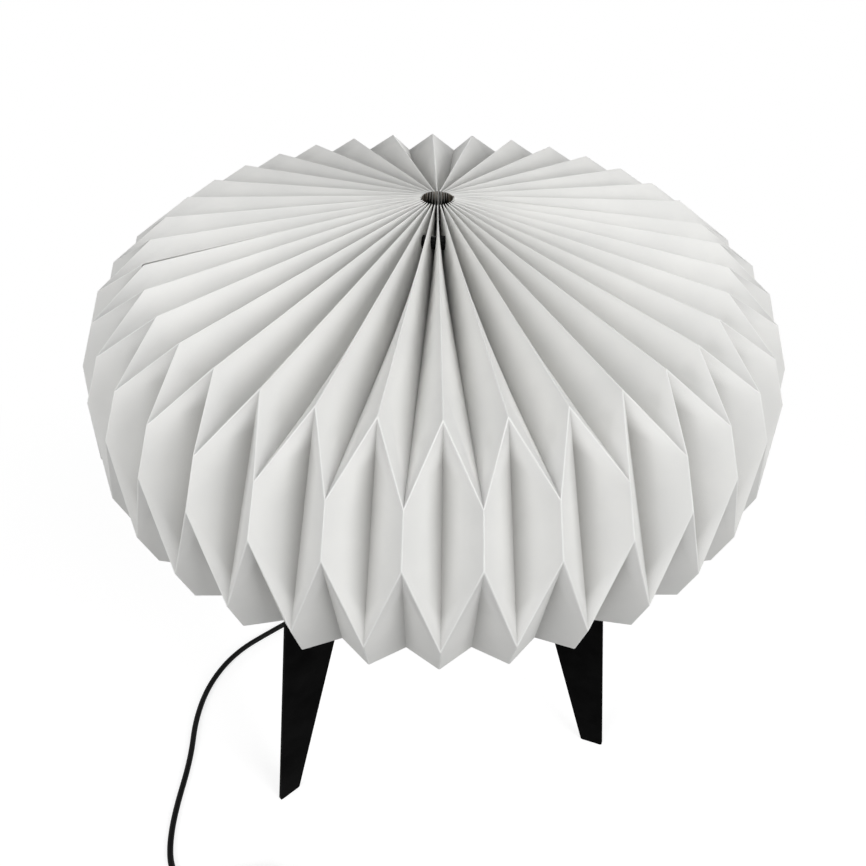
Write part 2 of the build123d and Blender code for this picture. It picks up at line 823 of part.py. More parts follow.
ear_base = rocker_pivot_height - rocker_ear_drop
cover_inside = switch_height - switch_wall
ear_offset = rocker_window_width / 2 + rocker_ear_thickness / 2
with BuildPart() as switch_cover:
    extrude(switch_plan(switch_split_height, 0), amount=switch_height - switch_split_height)
    fillet(switch_cover.edges().group_by(Axis.Z)[-1], radius=switch_edge)
    extrude(
        switch_plan(switch_split_height, switch_wall),
        amount=cover_inside - switch_split_height,
        mode=Mode.SUBTRACT,
    )
    with BuildSketch(Plane.XY.offset(switch_split_height)):
        with Locations(*screw_places):
            Circle(screw_boss_radius)
    extrude(amount=cover_inside - switch_split_height)
    with BuildSketch(Plane.XY.offset(switch_split_height)):
        with Locations(*screw_places):
            Circle(screw_radius + thread_clearance)
    extrude(amount=screw_head_height + screw_length - switch_split_height, mode=Mode.SUBTRACT)
    with BuildSketch(Plane.XY.offset(ear_base)):
        with Locations(
            (switch_center_x, switch_center_y - ear_offset),
            (switch_center_x, switch_center_y + ear_offset),
        ):
            Rectangle(rocker_ear_width, rocker_ear_thickness)
    extrude(amount=cover_inside - ear_base)
    with BuildSketch(Plane(origin=pivot, z_dir=(0, 1, 0))):
        Circle(rocker_pin_radius + thread_clearance)
    extrude(amount=ear_offset + rocker_ear_thickness, both=True, mode=Mode.SUBTRACT)
    with BuildSketch(Plane.XY.offset(cover_inside)):
        with Locations((switch_center_x, switch_center_y)):
            Rectangle(rocker_window_length, rocker_window_width)
    extrude(amount=switch_wall, mode=Mode.SUBTRACT)
    extrude(cord_hole.sketch, amount=switch_length, mode=Mode.SUBTRACT)
keep(switch_cover, "switch_cover")

with BuildPart() as switch_rocker:
    tilt = math.radians(rocker_tilt)
    along_rocker = (math.cos(tilt), 0, math.sin(tilt))
    rocker_plane = Plane(origin=pivot, x_dir=along_rocker, z_dir=(0, -1, 0))
    with BuildSketch(rocker_plane):
        with BuildLine():
            Polyline(
                (-rocker_length / 2, rocker_end_rise),
                (0, rocker_middle_rise),
                (rocker_length / 2, rocker_end_rise),
                (rocker_length / 2, rocker_drop / 2),
                (rocker_length / 4, -rocker_drop),
                (-rocker_length / 4, -rocker_drop),
                (-rocker_length / 2, rocker_drop / 2),
                close=True,
            )
        make_face()
    extrude(amount=rocker_width / 2, both=True)
    with BuildSketch(rocker_plane):
        Circle(rocker_pin_radius)
    extrude(amount=ear_offset + rocker_ear_thickness / 2, both=True)
keep(switch_rocker, "switch_rocker")

with BuildPart() as switch_screws:
    with BuildSketch(Plane.XY.offset(screw_head_recess)):
        with Locations(*screw_places):
            Circle(screw_head_radius)
    extrude(amount=screw_head_height)
    with BuildSketch(Plane.XY.offset(screw_head_recess + screw_head_height)):
        with Locations(*screw_places):
            Circle(screw_radius)
    extrude(amount=screw_length - 2 * screw_head_recess)
keep(switch_screws, "switch_screws")

with BuildPart() as switch_blades:
    with BuildSketch(Plane.XY.offset(switch_wall)):
        with Locations(
            (switch_center_x - blade_spread / 2, switch_center_y - blade_offset),
            (switch_center_x + blade_spread / 2, switch_center_y + blade_offset),
        ):
            Rectangle(blade_length, blade_thickness)
    extrude(amount=blade_height)
keep(switch_blades, "switch_blades")

# Coil: one tube that spirals in on the table, climbs and spirals out again on top of itself
coil_pitch = 2 * cord_radius + coil_gap
coil_low = cord_radius + tie_thickness + tie_gap / 2
coil_high = coil_low + coil_pitch
coil_inner_radius = coil_outer_radius - (coil_turns_in + climb_turns / 2) * coil_pitch
whole_turns = coil_turns_in + climb_turns + coil_turns_out


def coil_point(turns):
    """Centre of the coil's tube after a number of turns, clockwise from the far side."""
    from_reversal = turns - coil_turns_in - climb_turns / 2
    radius = coil_inner_radius + coil_pitch * abs(from_reversal)
    climbed = min(max(0.5 + from_reversal / climb_turns, 0), 1)
    height = coil_low + coil_pitch * (1 - math.cos(math.pi * climbed)) / 2
    angle = math.pi / 2 - 2 * math.pi * turns
    return Vector(
        coil_center_x + radius * math.cos(angle),
        coil_center_y + radius * math.sin(angle),
        height,
    )


def arc_reach(start, leaves, end, arrives):
    """How far two smooth arcs run along the tangents at their two ends before they meet."""
    span = end - start
    along = span.dot(leaves + arrives)
    spread = 2 * (1 - leaves.dot(arrives))
    if spread < same_direction:
        return span.dot(span) / (4 * span.dot(arrives))
    return (math.sqrt(along**2 + spread * span.dot(span)) - along) / spread


def smooth_path(points, tangents):
    """Arcs in pairs through the points, each smooth with its neighbours."""
    with BuildLine() as path:
        for start, leaves, end, arrives in zip(points, tangents, points[1:], tangents[1:]):
            straight = (end - start).normalized()
            if 2 - straight.dot(leaves) - straight.dot(arrives) < same_direction:
                Line(start, end)
            else:
                reach = arc_reach(start, leaves, end, arrives)
                first_corner = start + leaves * reach
                second_corner = end - arrives * reach
                middle = (first_corner + second_corner) * 0.5
                TangentArc(start, middle, tangent=leaves)
                TangentArc(middle, end, tangent=second_corner - first_corner)
    return path.wire()


def least_gap(line, thickness, apart):
    """Least clear gap of a tube to itself, between points that are this far apart along it."""
    count = int(line.length / thickness * 2)
    points = [line @ (step / count) for step in range(count + 1)]
    skip = int(apart / line.length * count)
    near = min(
        (points[first] - points[second]).length
        for first in range(count + 1)
        for second in range(first + skip, count + 1)
    )
    return near - thickness


quarters = [step / 4 for step in range(int(4 * whole_turns) + 1)]
coil_points = [coil_point(turns) for turns in quarters]
coil_tangents = [
    (coil_point(min(turns + 0.001, whole_turns)) - coil_point(max(turns - 0.001, 0))).normalized()
    for turns in quarters
]
switch_end = Vector(switch_center_x + switch_length / 2, coil_points[0].Y, switch_split_height)
plug_axis_height = plug_thickness / 2
plug_start = Vector(plug_cord_x, coil_points[-1].Y, plug_axis_height)
coil_points = [
    switch_end - to_plug * cord_end_depth,
    switch_end + to_plug * lead_length,
    *coil_points,
    plug_start - to_plug * lead_length,
    plug_start + to_plug * plug_cord_depth,
]
coil_tangents = [to_plug, to_plug, to_plug, *coil_tangents[1:-1], to_plug, to_plug, to_plug]
coil_line = smooth_path(coil_points, coil_tangents)
with BuildPart() as cord_coil:
    with BuildSketch(Plane(origin=coil_line @ 0, z_dir=coil_line % 0)):
        Circle(cord_radius)
    sweep(path=coil_line)
keep(cord_coil, "cord_coil")
coil_expected = coil_line.length * math.pi * cord_radius**2
coil_ratio = cord_coil.part.volume / coil_expected
coil_clear = least_gap(coil_line, 2 * cord_radius, 2 * coil_inner_radius)
print(f"cord_coil: length {coil_line.length:.1f}, volume over expected {coil_ratio:.4f}")
print(f"cord_coil: least gap to itself {coil_clear:.2f}")
print(f"lead from the last clip to the plug: {floor_length + coil_line.length + switch_length:.0f}")

tie_inner = coil_inner_radius - cord_radius - 2 * tie_gap
tie_outer = coil_outer_radius - coil_pitch / 2 + cord_radius + 2 * tie_gap
tie_top = coil_high + cord_radius + tie_gap
with BuildPart() as coil_tie:
    tie_middle = (coil_center_x, coil_center_y, 0)
    with BuildSketch(Plane(origin=tie_middle, x_dir=(0, -1, 0), z_dir=(-1, 0, 0))):
        with Locations(((tie_inner + tie_outer) / 2, 0)):
            Rectangle(
                tie_outer - tie_inner + 2 * tie_thickness,
                tie_top + tie_thickness,
                align=(Align.CENTER, Align.MIN),
            )
        with Locations(((tie_inner + tie_outer) / 2, tie_thickness)):
            Rectangle(
                tie_outer - tie_inner,
                tie_top - tie_thickness,
                align=(Align.CENTER, Align.MIN),
                mode=Mode.SUBTRACT,
            )
    extrude(amount=tie_width / 2, both=True)
keep(coil_tie, "coil_tie")

# Plug
body_start = plug_cord_x + plug_relief_length
body_end = body_start + plug_length
plug_y = plug_start.Y
with BuildPart() as plug_body:
    with BuildSketch():
        with BuildLine():
            FilletPolyline(
                (body_start, plug_y - plug_neck_width / 2),
                (body_start + plug_shoulder, plug_y - plug_width / 2),
                (body_end, plug_y - plug_width / 2),
                (body_end, plug_y + plug_width / 2),
                (body_start + plug_shoulder, plug_y + plug_width / 2),
                (body_start, plug_y + plug_neck_width / 2),
                radius=plug_corner,
                close=True,
            )
        make_face()
    extrude(amount=plug_thickness)
    fillet(plug_body.edges().filter_by(Axis.Z, reverse=True), radius=plug_edge)
    with BuildSketch(Plane(origin=plug_start, z_dir=to_plug)):
        Circle(plug_relief_radius)
    with BuildSketch(Plane(origin=plug_start + to_plug * (plug_relief_length + plug_edge), z_dir=to_plug)):
        Circle(plug_neck_radius)
    loft()
    with BuildSketch(Plane(origin=plug_start, z_dir=to_plug)):
        Circle(cord_radius + thread_clearance)
    extrude(amount=plug_cord_depth, mode=Mode.SUBTRACT)
    with BuildSketch(Plane(origin=(body_end, plug_y, plug_axis_height), z_dir=to_plug)) as pin_roots:
        with Locations((0, -pin_spacing / 2), (0, pin_spacing / 2)):
            Circle(pin_root_radius)
    extrude(amount=-pin_root, mode=Mode.SUBTRACT)
keep(plug_body, "plug_body")

with BuildPart() as plug_pins:
    with BuildSketch(Plane(origin=(body_end, plug_y, plug_axis_height), z_dir=to_plug)):
        with Locations((0, -pin_spacing / 2), (0, pin_spacing / 2)):
            Circle(pin_radius)
    extrude(amount=pin_length)
    fillet(plug_pins.edges().group_by(Axis.X)[-1], radius=pin_tip)
    extrude(pin_roots.sketch, amount=-pin_root)
keep(plug_pins, "plug_pins")
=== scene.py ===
# %% [markdown]
# # A pleated paper table lamp
# The lamp is a wide drum of folded paper that rests on three flat black steel legs. A small bulb
# stands between the legs, and a black lead runs off over the table. The hard pieces come ready made
# from the CAD frame, each at its true place, in metres. This lesson folds the paper, lays the lead,
# cuts the threads and gives every piece its finish.

# %% Load the frame
import math

import bmesh
import bpy
from mathutils import Matrix, Vector


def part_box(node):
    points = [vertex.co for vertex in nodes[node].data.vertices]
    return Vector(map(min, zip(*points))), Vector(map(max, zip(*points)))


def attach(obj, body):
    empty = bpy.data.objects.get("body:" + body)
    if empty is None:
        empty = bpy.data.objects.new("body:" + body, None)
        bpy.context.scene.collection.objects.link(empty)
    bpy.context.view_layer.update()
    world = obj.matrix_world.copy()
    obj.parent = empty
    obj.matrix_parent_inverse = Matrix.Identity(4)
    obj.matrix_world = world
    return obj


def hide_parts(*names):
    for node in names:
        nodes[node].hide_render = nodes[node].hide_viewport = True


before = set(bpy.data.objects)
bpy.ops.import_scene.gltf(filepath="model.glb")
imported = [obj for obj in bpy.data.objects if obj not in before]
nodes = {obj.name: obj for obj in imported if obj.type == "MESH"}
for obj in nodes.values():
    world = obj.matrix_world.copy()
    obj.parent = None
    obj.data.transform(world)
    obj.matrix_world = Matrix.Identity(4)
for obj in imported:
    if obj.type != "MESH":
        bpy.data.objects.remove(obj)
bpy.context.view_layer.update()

# %% [markdown]
# ## Camera
# The picture was taken from the front, from above the shade, with the lens tipped down by some forty
# degrees. The camera could be aimed with a constraint, but plain angles are easier to read: first the
# tip of the lens, then a slight roll, which the picture has too.

# %% Place the camera
camera_place = (0.0, -0.4777, 0.7158)
lens_tip = math.radians(39.83)
lens_roll = math.radians(1.07)
bpy.ops.object.select_all(action="DESELECT")
bpy.ops.object.camera_add(location=camera_place)
camera = bpy.context.object
camera.name = "photo_camera"
turn = Matrix.Rotation(math.pi / 2 - lens_tip, 3, "X") @ Matrix.Rotation(lens_roll, 3, "Z")
camera.rotation_euler = turn.to_euler()
camera.data.sensor_width = 36.0
camera.data.lens = 36.2
bpy.context.scene.camera = camera
print("Lens:", camera.data.lens, "mm")

# %% [markdown]
# ## Finishes: shared nodes
# Each finish is a Principled shader fed by procedural textures that read Object coordinates, so it
# needs no pictures and sits still on its piece. A few small helpers add the nodes that nearly every
# finish has: a colour that drifts a little, a roughness that drifts, and a fine bump.

# %% Start a finish and put it on a piece


def new_finish(name, roughness, metallic=0.0, specular=0.5):
    """A material with its node tree, its Principled shader and Object coordinates."""
    finish = bpy.data.materials.new(name)
    finish.use_nodes = True
    tree = finish.node_tree
    shader = tree.nodes["Principled BSDF"]
    shader.inputs["Roughness"].default_value = roughness
    shader.inputs["Metallic"].default_value = metallic
    shader.inputs["Specular IOR Level"].default_value = specular
    place = tree.nodes.new("ShaderNodeTexCoord")
    return finish, tree, shader, place.outputs["Object"]


def wear(piece, finish):
    """Give a new piece this finish alone."""
    piece.data.materials.clear()
    piece.data.materials.append(finish)


def dress(finish, *names):
    """Give carried-over CAD nodes this finish in the slots that they have."""
    for name in names:
        for place_for_finish in nodes[name].material_slots:
            place_for_finish.material = finish
    print(finish.name, "on", ", ".join(names))


# %% Noise, tones and ranges


def grey(level):
    """A grey of one level."""
    return (level, level, level)


def stretched(tree, place, scale):
    """Object coordinates scaled apart on each axis, for brushed or drawn marks."""
    mapping = tree.nodes.new("ShaderNodeMapping")
    mapping.inputs["Scale"].default_value = scale
    tree.links.new(place, mapping.inputs["Vector"])
    return mapping.outputs["Vector"]


def noise(tree, place, scale, detail=2.0):
    """A cloudy noise, mostly between 0.3 and 0.7."""
    texture = tree.nodes.new("ShaderNodeTexNoise")
    texture.inputs["Scale"].default_value = scale
    texture.inputs["Detail"].default_value = detail
    tree.links.new(place, texture.inputs["Vector"])
    return texture.outputs["Fac"]


def tones(tree, amount, dark, light, dark_at=0.35, light_at=0.65):
    """A colour that goes from a dark tone to a light one between two amounts."""
    ramp = tree.nodes.new("ShaderNodeValToRGB")
    ramp.color_ramp.elements[0].position = dark_at
    ramp.color_ramp.elements[0].color = (*dark, 1.0)
    ramp.color_ramp.elements[1].position = light_at
    ramp.color_ramp.elements[1].color = (*light, 1.0)
    tree.links.new(amount, ramp.inputs["Fac"])
    return ramp.outputs["Color"]


def map_range(tree, value, start, end, low=0.0, high=1.0):
    """A number that goes from low to high while the value goes from its start to its end."""
    spread = tree.nodes.new("ShaderNodeMapRange")
    spread.inputs["From Min"].default_value = start
    spread.inputs["From Max"].default_value = end
    spread.inputs["To Min"].default_value = low
    spread.inputs["To Max"].default_value = high
    tree.links.new(value, spread.inputs["Value"])
    return spread.outputs["Result"]


# %% Colour, roughness and relief


def drifting_colour(tree, shader, place, dark, light, scale):
    """Base colour that drifts between two tones over the piece."""
    colour = tones(tree, noise(tree, place, scale, detail=4.0), dark, light)
    tree.links.new(colour, shader.inputs["Base Color"])


def drifting_roughness(tree, shader, place, smooth, rough, scale):
    """Roughness that drifts between two values, as handling and wear leave it."""
    roughness = map_range(tree, noise(tree, place, scale), 0.3, 0.7, smooth, rough)
    tree.links.new(roughness, shader.inputs["Roughness"])


def relief(tree, shader, pattern, height):
    """Tilt the surface by a pattern whose height is in metres."""
    bump = tree.nodes.new("ShaderNodeBump")
    bump.inputs["Distance"].default_value = height
    tree.links.new(pattern, bump.inputs["Height"])
    tree.links.new(bump.outputs["Normal"], shader.inputs["Normal"])


def fine_bump(tree, shader, place, scale, height, detail=3.0):
    """A fine grain all over the piece."""
    relief(tree, shader, noise(tree, place, scale, detail), height)


# %% [markdown]
# ## The lead
# The lead is a round black cable of 5 mm. It comes down the rear leg in three clips, drops to the
# table and wanders forward to its switch. A NURBS curve of order three rounds the corners of its
# route by itself, and a round bevel gives the curve its thickness. The length that isn't needed is
# wound into a coil in front of the lamp, in two layers.

# %% Sleeve of the lead
sleeve, tree, shader, place = new_finish("lead_sleeve", 0.45, specular=0.1)
drifting_colour(tree, shader, place, grey(0.0025), grey(0.005), scale=60.0)
drifting_roughness(tree, shader, place, smooth=0.38, rough=0.56, scale=45.0)
fine_bump(tree, shader, place, scale=1500.0, height=0.00001)
print("Finish:", sleeve.name)

# %% Lay a lead along a route


def lay_lead(name, points, radius, finish):
    """A round lead along the control points of a route, in metres."""
    line = bpy.data.curves.new(name, "CURVE")
    line.dimensions = "3D"
    line.resolution_u = 10
    line.bevel_depth = radius
    line.bevel_resolution = 5
    line.use_fill_caps = True
    spline = line.splines.new("NURBS")
    spline.points.add(len(points) - 1)
    for knot, point in zip(spline.points, points):
        knot.co = (*point, 1.0)
    spline.order_u = 3
    spline.use_endpoint_u = True
    lead = bpy.data.objects.new(name, line)
    bpy.context.scene.collection.objects.link(lead)
    wear(lead, finish)
    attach(lead, "stand")
    print(name, "has", len(points), "points")
    return lead


# %% Lead on the table
lead_radius = 0.0025
table_route = [
    (-0.0252, 0.1240, 0.0570),
    (-0.0270, 0.1325, 0.0283),
    (-0.052, 0.137, lead_radius),
    (-0.098, 0.109, lead_radius),
    (-0.157, 0.064, lead_radius),
    (-0.189, 0.037, lead_radius),
    (-0.207, 0.002, lead_radius),
    (-0.212, -0.036, lead_radius),
    (-0.2075, -0.076, lead_radius),
    (-0.210, -0.124, lead_radius),
    (-0.2075, -0.153, lead_radius),
    (-0.201, -0.1715, lead_radius),
    (-0.188, -0.1845, 0.0030),
    (-0.172, -0.190, 0.0080),
    (-0.158, -0.190, 0.0080),
]
lead_on_table = lay_lead("lead_on_table", table_route, lead_radius, sleeve)
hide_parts("cord_on_floor")

# %% [markdown]
# ### Coil
# The coil winds inwards in the lower layer, climbs within half a turn, and winds outwards again on
# top of itself. The curve runs a little inside its control points, by a share that follows from how
# many there are in a turn, so the points are set that much further out.

# %% Coil that is put away
coil_middle = (-0.055, -0.228)
coil_outer = 0.038
coil_pitch = 0.0058
coil_low = 0.0034
turns_in = 3.0
turns_up = 0.5
turns_out = 2.5
coil_turns = turns_in + turns_up + turns_out
knots_per_turn = 16
reversal = turns_in + turns_up / 2
corner_cut = 0.25 * (1.0 - math.cos(2 * math.pi / knots_per_turn))
coil_route = [(-0.102, -0.190, 0.0080), (-0.088, -0.190, 0.0080), (-0.070, -0.190, 0.0045)]
for step in range(int(coil_turns * knots_per_turn) + 1):
    turns = step / knots_per_turn
    away = turns - reversal
    radius = (coil_outer - (reversal - abs(away)) * coil_pitch) / (1.0 - corner_cut)
    climbed = min(max(0.5 + away / turns_up, 0.0), 1.0)
    height = coil_low + coil_pitch * (1.0 - math.cos(math.pi * climbed)) / 2
    angle = math.pi / 2 - 2 * math.pi * turns
    across = coil_middle[0] + radius * math.cos(angle)
    along = coil_middle[1] + radius * math.sin(angle)
    coil_route.append((across, along, height))
coil_route += [(-0.030, -0.1929, 0.0086), (-0.012, -0.1929, 0.0069)]
coil_route += [(0.0, -0.1929, 0.0069), (0.022, -0.1929, 0.0069)]
lead_coil = lay_lead("lead_coil", coil_route, lead_radius, sleeve)
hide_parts("cord_coil")

# %% [markdown]
# ### Inside the lamp
# From the lampholder the lead drops through the hub and swings over to the rear leg. Inside the
# lampholder its sleeve ends and two thin cores, brown and blue, go on to the terminals.

# %% Lead inside the lamp
lamp_route = [
    (0.0, 0.0, 0.3165),
    (0.0, 0.0, 0.2580),
    (0.0, 0.0, 0.2360),
    (-0.0173, 0.0849, 0.1900),
    (-0.0188, 0.0923, 0.1650),
    (-0.0252, 0.1240, 0.0570),
]
lead_in_lamp = lay_lead("lead_in_lamp", lamp_route, lead_radius, sleeve)
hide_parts("cord_in_lamp")

# %% The two cores in the lampholder
core_radius = 0.0009
core_bends = [(0.0013, 0.3165), (0.0013, 0.3204), (0.0051, 0.32425)]
core_colours = {"live": (0.22, 0.10, 0.05), "neutral": (0.05, 0.12, 0.40)}
darker_share = 0.85
for core_name, side in (("live", 1), ("neutral", -1)):
    tone = core_colours[core_name]
    insulation, tree, shader, place = new_finish(f"{core_name}_insulation", 0.4)
    drifting_colour(tree, shader, place, [darker_share * part for part in tone], tone, scale=300.0)
    fine_bump(tree, shader, place, scale=4000.0, height=0.00001)
    core_route = [(side * across, 0.0, height) for across, height in core_bends]
    core = lay_lead(f"{core_name}_core", core_route, core_radius, insulation)
    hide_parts(f"{core_name}_wire")

print("Free leads:", lead_on_table.name, "and", lead_coil.name)

# %% [markdown]
# ## The paper shade
# The shade is made of two strips of stiff white paper, folded into narrow pleats and glued into a
# ring. The pleats fan out from the hole, break over the shoulder, break again at the waist and end
# in a zigzag hem. By hand one would start from the ring of the hole, pull new rings out of it with
# extrude, and drag every second point outwards for a crest and the others inwards for a valley.
# That is what happens here: a circle of 72 points, extruded ring by ring, where the crests and the
# valleys are scaled and moved apart from each other.

# %% Sizes of the pleats
pleats = 36
shade_turn = math.radians(1.5)
hole_radius = 0.0092
crest_corners = [(hole_radius, 0.4965), (0.1717, 0.4685), (0.2189, 0.3588), (0.2106, 0.3337)]
valley_corners = [(hole_radius, 0.4713), (0.2050, 0.4430), (0.2161, 0.4148), (0.1980, 0.3348)]
shoulder_radius = crest_corners[1][0]
zone_rows = [12, 6, 4]
zone_growth = [1.5, 1.0, 1.0]
print("Pleats:", pleats)

# %% Helpers to pick points and edges
quarter_pleat = 0.25


def pleat_number(point):
    """How many pleats a point is from the front, counted towards +X, on the unturned ring."""
    return math.degrees(math.atan2(point.co.x, -point.co.y)) * pleats / 360


def on_crest(point):
    """True where a point lies on a whole number of pleats."""
    number = pleat_number(point)
    return abs(number - round(number)) < quarter_pleat


def pick_points(piece, wanted):
    """Select the points of a piece in edit mode that a test picks, and no others."""
    shape = bmesh.from_edit_mesh(piece.data)
    shape.select_mode = {"VERT"}
    for point in shape.verts:
        point.select = wanted(point)
    shape.select_flush_mode()
    bmesh.update_edit_mesh(piece.data)


def pick_edges(piece, wanted):
    """Select the edges of a piece in edit mode that a test picks, and no others."""
    shape = bmesh.from_edit_mesh(piece.data)
    shape.select_mode = {"EDGE"}
    for edge in shape.edges:
        edge.select_set(wanted(edge))
    shape.select_flush_mode()
    bmesh.update_edit_mesh(piece.data)


# %% Helpers to scale and to turn faces


def scale_out(factor):
    """Scale what is selected away from the lamp's axis, or towards it."""
    bpy.ops.transform.resize(value=(factor, factor, 1.0), center_override=(0.0, 0.0, 0.0))


def face_outwards():
    """Turn all faces of the piece in edit mode outwards."""
    bpy.ops.mesh.select_all(action="SELECT")
    bpy.ops.mesh.normals_make_consistent(inside=False)


def shift_ring(piece, ring, start, end, crest):
    """Move one ring's crests, or its valleys, from one radius and height to the next."""
    pick_points(piece, lambda point: point.index in ring and on_crest(point) == crest)
    scale_out(end[0] / start[0])
    bpy.ops.transform.translate(value=(0.0, 0.0, end[1] - start[1]))


# %% Start from the ring of the hole
bpy.ops.object.select_all(action="DESELECT")
bpy.ops.mesh.primitive_circle_add(vertices=2 * pleats, radius=hole_radius, fill_type="NOTHING")
paper = bpy.context.object
paper.name = "shade_paper_front"
bpy.ops.object.mode_set(mode="EDIT")
bpy.ops.mesh.select_mode(type="VERT")
ring = set(range(2 * pleats))
shift_ring(paper, ring, (hole_radius, 0.0), crest_corners[0], True)
shift_ring(paper, ring, (hole_radius, 0.0), valley_corners[0], False)
print("Hole ring:", len(paper.data.vertices), "points")

# %% Pull the rings out, crest and valley apart
crest_now = crest_corners[0]
valley_now = valley_corners[0]
top_radii = [hole_radius]
for zone, rows in enumerate(zone_rows):
    for row in range(1, rows + 1):
        share = (row / rows) ** zone_growth[zone]
        crest_next = tuple(Vector(crest_corners[zone]).lerp(Vector(crest_corners[zone + 1]), share))
        valley_next = tuple(Vector(valley_corners[zone]).lerp(Vector(valley_corners[zone + 1]), share))
        pick_points(paper, lambda point: point.index in ring)
        bpy.ops.mesh.extrude_edges_move()
        shape = bmesh.from_edit_mesh(paper.data)
        shape.verts.index_update()
        ring = {point.index for point in shape.verts if point.select}
        shift_ring(paper, ring, crest_now, crest_next, True)
        shift_ring(paper, ring, valley_now, valley_next, False)
        crest_now = crest_next
        valley_now = valley_next
        if zone == 0:
            top_radii.append(crest_now[0])
face_outwards()
print("Rows on the top:", len(top_radii))

# %% [markdown]
# ### Seams
# Two sheets meet on two crests. On the left the seam has opened a little and shows as a thin dark
# line, and on the right the glued pleat lies flatter than the others. The ring is cut along both
# crests with edge split, and the points on the seams are nudged, row by row.

# %% Flatten the glued pleat
front_seam = -8
rear_seam = 10
glued_drop = 0.0025
row_tolerance = 1e-4


def on_seam(point, seam):
    """True where a point lies on the crest of one seam."""
    return abs(pleat_number(point) - seam) < quarter_pleat


def on_seam_row(point, seam, radius):
    """True for the point of a seam that lies this far from the lamp's axis."""
    return on_seam(point, seam) and abs(math.hypot(point.co.x, point.co.y) - radius) < row_tolerance


for radius in top_radii[1:]:
    pick_points(paper, lambda point: on_seam_row(point, rear_seam, radius))
    drop = glued_drop * (radius / shoulder_radius) ** 2
    bpy.ops.transform.translate(value=(0.0, 0.0, -drop))
print("Glued pleat lower by", 1000 * glued_drop, "mm at the shoulder")

# %% Cut the ring into two halves


def along_a_seam(edge):
    """True for an edge that lies on the crest of either seam."""
    return any(all(on_seam(point, seam) for point in edge.verts) for seam in (front_seam, rear_seam))


pick_edges(paper, along_a_seam)
bpy.ops.mesh.edge_split(type="EDGE")
bpy.ops.mesh.separate(type="LOOSE")
bpy.ops.object.mode_set(mode="OBJECT")
halves = [piece for piece in bpy.context.selected_objects if piece.name.startswith("shade_paper")]
halves.sort(key=lambda piece: sum(point.co.y for point in piece.data.vertices))
front_paper, rear_paper = halves
rear_paper.name = "shade_paper_rear"
front_paper.name = "shade_paper_front"
print("Halves:", [(piece.name, len(piece.data.polygons)) for piece in halves])

# %% Open the left seam
seam_gap = 0.0006
seam_drop = 0.0010
seam_angle = math.radians(front_seam * 360 / pleats)
to_front = Vector((math.cos(seam_angle), math.sin(seam_angle), 0.0))


def edit_alone(piece):
    """Select this piece alone and go into its edit mode."""
    bpy.ops.object.select_all(action="DESELECT")
    bpy.context.view_layer.objects.active = piece
    piece.select_set(True)
    bpy.ops.object.mode_set(mode="EDIT")


edit_alone(front_paper)
for radius in top_radii:
    pick_points(front_paper, lambda point: on_seam_row(point, front_seam, radius))
    share = radius / shoulder_radius
    opening = to_front * seam_gap * share + Vector((0.0, 0.0, -seam_drop * share))
    bpy.ops.transform.translate(value=opening)
bpy.ops.object.mode_set(mode="OBJECT")
print("Left seam open by", 1000 * seam_gap, "mm at the shoulder")

# %% [markdown]
# ### Holes for the pin
# A fluted pin holds the front pleats together a little way out from the hole in the top, and each
# facet that it passes has a round hole. A disc the size of the hole is spun about the lamp's axis
# into a bent bar, and a Boolean takes that bar out of the paper later on.

# %% Bar that cuts the holes
pin_reach = 0.0275
pin_height = 0.4812
pin_hole_radius = 0.0041
pin_first_crest = -2
pin_valleys = 3
pin_start = shade_turn + math.radians(pin_first_crest * 360 / pleats)
pin_sweep = math.radians(pin_valleys * 360 / pleats)
bpy.ops.object.select_all(action="DESELECT")
bpy.ops.mesh.primitive_circle_add(
    vertices=32,
    radius=pin_hole_radius,
    fill_type="NGON",
    location=(pin_reach * math.sin(pin_start), -pin_reach * math.cos(pin_start), pin_height),
    rotation=(0.0, math.pi / 2, pin_start),
)
hole_bar = bpy.context.object
bpy.ops.object.transform_apply(location=True, rotation=True, scale=True)
bpy.ops.object.mode_set(mode="EDIT")
bpy.ops.mesh.select_all(action="SELECT")
bpy.ops.mesh.spin(steps=16, angle=-pin_sweep, center=(0.0, 0.0, 0.0), axis=(0.0, 0.0, 1.0))
face_outwards()
bpy.ops.object.mode_set(mode="OBJECT")
print("Bar faces:", len(hole_bar.data.polygons))

# %% [markdown]
# ### Paper
# The paper is a matt off-white with a faint cloudiness and a fine tooth. Its colour is worked out in
# steps, with a few more helpers. A place on the paper is read as a distance from the lamp's axis and a
# height, because the dark tone round the hole follows the hole and the painted fold shade follows the
# pleats.

# %% Helpers for a colour that follows the shape


def feed(tree, source, socket):
    """Link a node's output to a socket, or set the socket to a plain number or colour."""
    if isinstance(source, bpy.types.NodeSocket):
        tree.links.new(source, socket)
    else:
        socket.default_value = source


def calculate(tree, operation, *terms):
    """What a Math node makes of its terms."""
    step = tree.nodes.new("ShaderNodeMath")
    step.operation = operation
    for term, socket in zip(terms, step.inputs):
        feed(tree, term, socket)
    return step.outputs["Value"]


def mixed_colour(tree, share, first, second):
    """A colour that goes from the first to the second as the share goes from nought to one."""
    mix = tree.nodes.new("ShaderNodeMix")
    mix.data_type = "RGBA"
    feed(tree, share, mix.inputs["Factor"])
    feed(tree, first, mix.inputs["A"])
    feed(tree, second, mix.inputs["B"])
    return mix.outputs["Result"]


def length_of(tree, place):
    """How far a place is from the origin."""
    length = tree.nodes.new("ShaderNodeVectorMath")
    length.operation = "LENGTH"
    tree.links.new(place, length.inputs[0])
    return length.outputs["Value"]


def axes_of(tree, place):
    """The X, Y and Z of a place."""
    axes = tree.nodes.new("ShaderNodeSeparateXYZ")
    tree.links.new(place, axes.inputs["Vector"])
    return axes.outputs["X"], axes.outputs["Y"], axes.outputs["Z"]


